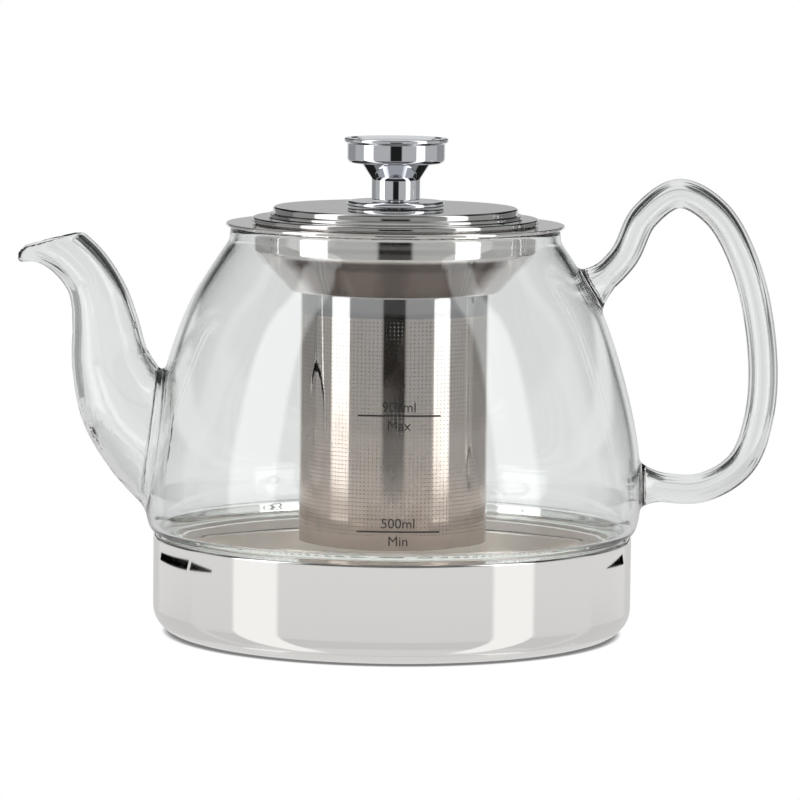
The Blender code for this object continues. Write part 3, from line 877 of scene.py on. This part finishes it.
def polish(shader, roughness, waviness):
    place = shader.place()
    smudge = shader.noise(place, 60.0, 4.0)
    lines = shader.noise(shader.around(), 2600.0, 1.0)
    mottle = shader.math("MULTIPLY", shader.math("ADD", lines, smudge), 0.5)
    shader.set(Roughness=shader.remap(mottle, 0.3, 0.7, roughness * 0.75, roughness * 1.3))
    wave = shader.noise(place, 34.0, 1.0)
    shader.bump(wave, waviness)


def collar_material():
    """The collar's bright wall, and its bowl, with a painted brown reflection where it faces the viewer."""
    shader = Shader("infuser_sheet_steel")
    bowl = shader.remap(shader.height(), (COLLAR_WALL_BOTTOM - 0.2) * MM, (COLLAR_WALL_BOTTOM - 1.0) * MM,
                        0.0, 1.0)
    facing = shader.node("LayerWeight", {"Blend": 0.5}).outputs["Facing"]
    # Painted reflection: where the bowl faces the viewer it is coloured dark brown, streaked with rings, in
    # place of what it mirrors.
    painted_reflection = shader.math("MULTIPLY", bowl, shader.remap(facing, 0.53, 0.64, 1.0, 0.0))
    rings = shader.noise(shader.around(), 130.0, 1.0)
    reflection_brown = shader.mix(shader.remap(rings, 0.38, 0.62, 0.0, 1.0), PAINTED_REFLECTION_DARK, PAINTED_REFLECTION_LIGHT)
    shader.set(Base_Color=shader.mix(painted_reflection, COLLAR_STEEL, reflection_brown), Metallic=1.0)
    polish(shader, 0.045, SHEET_WAVE)
    return shader.material


def liner_material():
    """Satin steel, seen through the glass: a little matt and warm, less metallic on the pan's wall."""
    shader = Shader("satin_steel")
    metal = shader.remap(shader.height(), 8.0 * MM, 13.0 * MM, 0.62, 0.25)
    shader.set(Base_Color=LINER_STEEL, Metallic=metal)
    polish(shader, 0.13, LINER_WAVE)
    return shader.material


def sleeve_material():
    """Plain steel at the top of the sleeve; below it fine mesh, duller and browner towards the foot, a
    painted fade of its reflection.
    """
    shader = Shader("perforated_steel")
    height = shader.height()
    share = shader.remap(height, PERFORATED_FROM * MM, PERFORATED_TO * MM, 0.0, 1.0)
    mesh = shader.math("LESS_THAN", height, (PERFORATED_TO + 0.5) * MM)
    stretched = shader.node("VectorMath", {0: shader.place(), 1: (1.0, 1.0, 0.35)}, operation="MULTIPLY")
    cloud = shader.noise(stretched.outputs[0], 130.0, 4.0)
    # Painted reflection: the mesh fades from the top colour to a duller brown at the foot, in place of a
    # change in what it mirrors.
    painted_fade = shader.math("ADD", share, shader.remap(cloud, 0.3, 0.7, -0.2, 0.2))
    color = shader.mix(mesh, SLEEVE_PLAIN, shader.mix(painted_fade, SLEEVE_PAINTED_FOOT, SLEEVE_PAINTED_TOP))
    dull = shader.math("MULTIPLY", mesh, shader.remap(painted_fade, 0.0, 0.8, 0.50, 0.0))
    shader.set(Base_Color=color, Metallic=shader.math("SUBTRACT", 1.0, dull),
               Roughness=shader.math("ADD", 0.045, shader.math("MULTIPLY", dull, 0.12)))
    return shader.material


def glass_material():
    """Clear borosilicate with a trace of grey green; lamps shine through it."""
    shader = Shader("borosilicate_glass")
    ripple = shader.noise(shader.place(), 22.0, 1.0)
    shader.set(Base_Color=GLASS_TINT, Roughness=0.0, Transmission_Weight=1.0, IOR=GLASS_INDEX)
    shader.bump(ripple, GLASS_RIPPLE)
    clear = shader.node("BsdfTransparent", {"Color": GLASS_SHADOW})
    path = shader.node("LightPath")
    mix = shader.node("MixShader", {0: path.outputs["Is Shadow Ray"], 1: shader.main.outputs[0],
                                    2: clear.outputs[0]})
    shader.tree.links.new(mix.outputs[0], shader.output.inputs["Surface"])
    return shader.material


def silicone_material():
    shader = Shader("seal_silicone")
    grain = shader.noise(shader.place(), 900.0, 3.0)
    shader.set(Base_Color=SILICONE, Roughness=shader.remap(grain, 0.3, 0.7, 0.42, 0.6),
               Subsurface_Weight=0.15, Subsurface_Scale=0.002)
    shader.bump(grain, SILICONE_GRAIN)
    return shader.material


def ink_material():
    shader = Shader("level_mark_ink")
    grain = shader.noise(shader.place(), 4000.0, 2.0)
    shader.set(Base_Color=INK, Roughness=shader.remap(grain, 0.3, 0.7, 0.5, 0.7))
    return shader.material


# -------- studio
ROOM_LEVEL = 0.5
# Cards and flags, each laid over those before it: radiance, which sides, from and to in degrees from the
# camera's side, softness, then, where they don't go through all heights, low and high in degrees of lift
# and the softness there.
STUDIO = (
    (0.80, "both", 156.0, 200.0, 2.5),                      # pale card behind the object
    (0.50, "both", 156.0, 200.0, 2.5, 2.2, 5.4, 0.8),       # dimmer strip across it
    (0.34, "both", 112.0, 155.0, 2.5, -40.0, 56.0),         # flags at the back corners
    (0.03, "both", 112.0, 155.0, 2.5, 1.0, 56.0),           # and their darker upper parts
    (0.03, "both", 155.0, 173.0, 2.0, 6.0, 28.0, 2.0),      # dark sides of the pale card
    (0.75, "both", -10.0, 152.0, 4.0, 4.0, 9.0, 1.0),       # pale ring low down
    (0.02, "both", -10.0, 104.0, 4.0, 19.0, 50.0, 2.0),     # dark ring high up
    (2.40, "right", 49.5, 71.5, 1.5, -45.0, 66.0),          # tall soft boxes at the front corners
    (2.40, "left", -81.5, -56.0, 1.5, -45.0, 66.0),
    (0.015, "both", -13.5, 13.5, 2.0, -60.0, -1.0, 1.0),    # dark gap behind the camera
)
ROOM_TINT = (0.985, 1.0, 0.995)

FLOOR_RADIUS = 0.36
FLOOR_DROP = 0.0002             # keeps the table just clear of the flat underside
FLOOR_GLOW = 0.76               # what the glass and the steel see of the table
FLOOR_SHEEN = 0.16              # share of that which mirrors the room
# Reach of the painted contact shadow: the table's white is darkened by ambient occlusion within it.
CONTACT_SHADOW_REACH = 0.0018
# Black patches in the table's material, beside the pot and a little behind it; the camera doesn't see them,
# the mirror band does. From and to in degrees from the camera's side, then the distance in metres of the
# near and far edges at the first angle and at the last.
PATCHES = (
    (-129.0, -99.0, 0.189, 0.208, 0.198, 0.223),
    (-97.0, -82.0, 0.200, 0.221, 0.210, 0.216),
    (108.0, 129.0, 0.204, 0.2052, 0.1903, 0.2167),
)
THROUGH_ALL = 90.0              # a lift that doesn't limit a card
LIFT_SOFT = 6.0

LAMP_SIZE = 1.6
LAMP_POWER = 26.0
LAMP_PLACE = (0.0, -0.1, 1.5)

CAMERA_LENS = 216.0
CAMERA_DISTANCE = 1.37
CAMERA_LIFT = math.radians(6.0)
CAMERA_ROLL = math.radians(0.6)
CAMERA_AIM = Vector((0.0018, 0.0, 0.0663))


def smooth_step(shader, value, start, end):
    made = shader.node("MapRange", {"Value": value, "From Min": start, "From Max": end},
                       interpolation_type="SMOOTHSTEP")
    return made.outputs[0]


class WorldShader(Shader):
    def __init__(self, name):
        self.world = bpy.data.worlds.new(name)
        self.world.use_nodes = True
        self.tree = self.world.node_tree
        self.main = self.tree.nodes["Background"]
        self.output = self.tree.nodes["World Output"]


def camera_polar(shader, parts):
    """Degrees from the camera's side, positive to its right, and the distance from the upright axis."""
    sideways = shader.node("VectorTransform", {0: (1.0, 0.0, 0.0)}, vector_type="VECTOR",
                           convert_from="CAMERA", convert_to="WORLD").outputs[0]
    side_parts = shader.node("SeparateXYZ", {0: sideways}).outputs
    right = shader.math("ADD", shader.math("MULTIPLY", parts[0], side_parts[0]),
                        shader.math("MULTIPLY", parts[1], side_parts[1]))
    front = shader.math("SUBTRACT", shader.math("MULTIPLY", parts[0], side_parts[1]),
                        shader.math("MULTIPLY", parts[1], side_parts[0]))
    turn = shader.math("MULTIPLY", shader.math("ARCTAN2", right, front), 180 / math.pi)
    reach = shader.math("SQRT", shader.math("ADD", shader.math("MULTIPLY", right, right),
                                            shader.math("MULTIPLY", front, front)))
    return turn, reach


def lay_card(shader, level, lift, angle, value, start, end, soft, low=-THROUGH_ALL, high=THROUGH_ALL,
             lift_soft=LIFT_SOFT):
    """The radiance once a card of that value lies over the level."""
    rise = smooth_step(shader, angle, start - soft, start + soft)
    fall = smooth_step(shader, angle, end + soft, end - soft)
    mask = shader.math("MULTIPLY", rise, fall)
    if low > -THROUGH_ALL:
        over = smooth_step(shader, lift, low - lift_soft, low + lift_soft)
        mask = shader.math("MULTIPLY", mask, over)
    if high < THROUGH_ALL:
        under = smooth_step(shader, lift, high + lift_soft, high - lift_soft)
        mask = shader.math("MULTIPLY", mask, under)
    change = shader.math("MULTIPLY", mask, shader.math("SUBTRACT", value, level))
    return shader.math("ADD", level, change)


def build_world():
    """A studio that turns with the camera, made of the cards and flags above; to the camera it is white."""
    shader = WorldShader("studio")
    direction = shader.node("TexCoord").outputs["Generated"]
    parts = shader.node("SeparateXYZ", {0: direction}).outputs
    turn, _ = camera_polar(shader, parts)
    lift = shader.math("MULTIPLY", shader.math("ARCSINE", parts[2]), 180 / math.pi)
    swing = shader.math("ABSOLUTE", turn)

    level = shader.node("Value").outputs[0]
    level.default_value = ROOM_LEVEL
    for value, side, *reach in STUDIO:
        level = lay_card(shader, level, lift, swing if side == "both" else turn, value, *reach)
    seen = shader.node("LightPath").outputs["Is Camera Ray"]
    tinted = [shader.math("MULTIPLY", level, share) for share in ROOM_TINT]
    color = shader.node("CombineColor", dict(enumerate(tinted))).outputs[0]
    shader.tree.links.new(shader.mix(seen, color, WHITE), shader.main.inputs["Color"])
    bpy.context.scene.world = shader.world


def patches_mask(shader):
    """0 on the black patches and 1 elsewhere, in polar coordinates that turn with the camera."""
    place = shader.node("SeparateXYZ", {0: shader.node("NewGeometry").outputs["Position"]}).outputs
    turn, reach = camera_polar(shader, place)
    open_table = 1.0
    for start, end, near_start, far_start, near_end, far_end in PATCHES:
        near = shader.remap(turn, start, end, near_start, near_end)
        far = shader.remap(turn, start, end, far_start, far_end)
        inside = shader.math("GREATER_THAN", turn, start)
        for limit in (shader.math("LESS_THAN", turn, end), shader.math("GREATER_THAN", reach, near),
                      shader.math("LESS_THAN", reach, far)):
            inside = shader.math("MULTIPLY", inside, limit)
        open_table = shader.math("MULTIPLY", open_table, shader.math("SUBTRACT", 1.0, inside))
    return open_table


def table_material():
    """White to the camera, with a painted contact shadow, a thin dark line from ambient occlusion; a soft
    sheen in mirrors and glass.
    """
    shader = Shader("table_white")
    # Painted contact shadow: ambient occlusion dims the table's white emission next to the base.
    contact_shadow = shader.node("AmbientOcclusion", {"Distance": CONTACT_SHADOW_REACH}, samples=8).outputs["AO"]
    open_white = shader.node("Emission", {"Strength": shader.remap(contact_shadow, 0.25, 0.92, 0.2, 1.0)})
    table = patches_mask(shader)
    glow = shader.node("Emission", {"Strength": shader.math("MULTIPLY", table, FLOOR_GLOW)})
    sheen = shader.node("BsdfGlossy", {"Color": WHITE, "Roughness": 0.03})
    mirrored = shader.node("MixShader", {0: shader.math("MULTIPLY", table, FLOOR_SHEEN), 1: glow.outputs[0],
                                         2: sheen.outputs[0]})
    seen = shader.node("LightPath").outputs["Is Camera Ray"]
    mix = shader.node("MixShader", {0: seen, 1: mirrored.outputs[0], 2: open_white.outputs[0]})
    shader.tree.links.new(mix.outputs[0], shader.output.inputs["Surface"])
    return shader.material


def build_floor():
    """Round pale table. Past its edge the camera sees the world's white, the same as the table's."""
    work = bmesh.new()
    bmesh.ops.create_circle(work, cap_ends=True, segments=128, radius=FLOOR_RADIUS)
    mesh = bpy.data.meshes.new("table")
    work.to_mesh(mesh)
    work.free()
    floor = bpy.data.objects.new("table", mesh)
    floor.location.z = -FLOOR_DROP
    bpy.context.scene.collection.objects.link(floor)
    mesh.materials.append(table_material())


def build_lamp():
    """Large soft box overhead. It lights what isn't a mirror, and no mirror or glass shows it."""
    light = bpy.data.lights.new("overhead", "AREA")
    light.shape = "DISK"
    light.size = LAMP_SIZE
    light.energy = LAMP_POWER
    lamp = bpy.data.objects.new("overhead", light)
    lamp.location = LAMP_PLACE
    lamp.visible_glossy = False
    lamp.visible_transmission = False
    bpy.context.scene.collection.objects.link(lamp)


def build_camera():
    data = bpy.data.cameras.new("camera")
    data.lens = CAMERA_LENS
    data.clip_start = 0.05
    camera = bpy.data.objects.new("camera", data)
    back = Vector((0.0, -math.cos(CAMERA_LIFT), math.sin(CAMERA_LIFT)))
    camera.location = CAMERA_AIM + back * CAMERA_DISTANCE
    camera.rotation_mode = "QUATERNION"
    aim = (-back).to_track_quat("-Z", "Y")
    roll = Vector((1.0, 0.0, 0.0)).rotation_difference(
        Vector((math.cos(CAMERA_ROLL), math.sin(CAMERA_ROLL), 0.0)))
    camera.rotation_quaternion = aim @ roll
    bpy.context.scene.collection.objects.link(camera)
    bpy.context.scene.camera = camera


# -------- build it all
def main():
    mirror = metal_material("mirror_steel")
    sheet = collar_material()
    satin = liner_material()
    lid = metal_material("lid_steel")
    chrome = metal_material("chrome")
    fastener = metal_material("fastener_steel")
    aluminium = metal_material("spreader_aluminium")

    build_glass()
    build_base(mirror, satin, aluminium, silicone_material())
    build_collar(sheet)
    build_sleeve(sleeve_material())
    build_infuser_base(metal_material("infuser_cap_steel"))
    build_lid(lid, satin)
    build_knob(chrome, fastener)
    build_marks(ink_material())
    build_world()
    build_floor()
    build_lamp()
    build_camera()
    bpy.context.scene.view_settings.view_transform = "Standard"


main()
